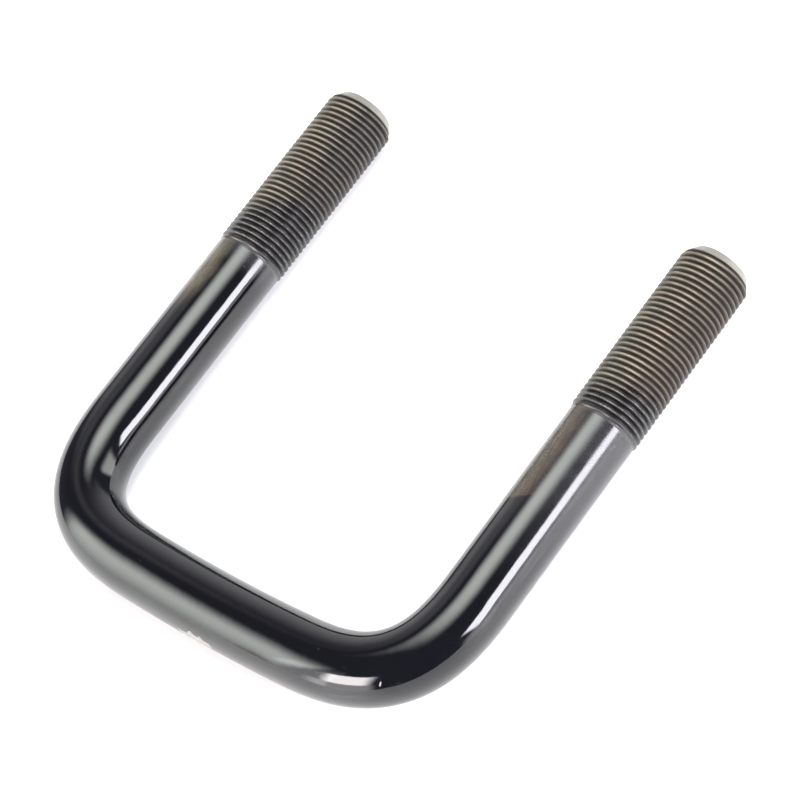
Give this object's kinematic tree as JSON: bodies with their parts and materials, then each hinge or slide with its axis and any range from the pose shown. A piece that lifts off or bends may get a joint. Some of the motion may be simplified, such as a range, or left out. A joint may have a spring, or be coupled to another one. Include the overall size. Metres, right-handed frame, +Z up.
{
  "type": "square-bend u-bolt",
  "caption": "Round steel bar bent into a square-cornered U with eased bends and a slightly bowed crown, coated gloss black, with bare fine-threaded, chamfered stud ends.",
  "frame": {"origin": "centre of the footprint of the bolt lying on its side, at the surface it lies on", "axes": "+X along the crown towards the right leg, +Y along the legs from the crown to the stud ends, +Z up from the surface it lies on"},
  "size_m": [0.1322, 0.145, 0.0189],
  "materials": {
    "black_coated_steel": "gloss"
  },
  "bodies": {
    "root": {"threaded_u_bar": "black_coated_steel"}
  },
  "joints": []
}
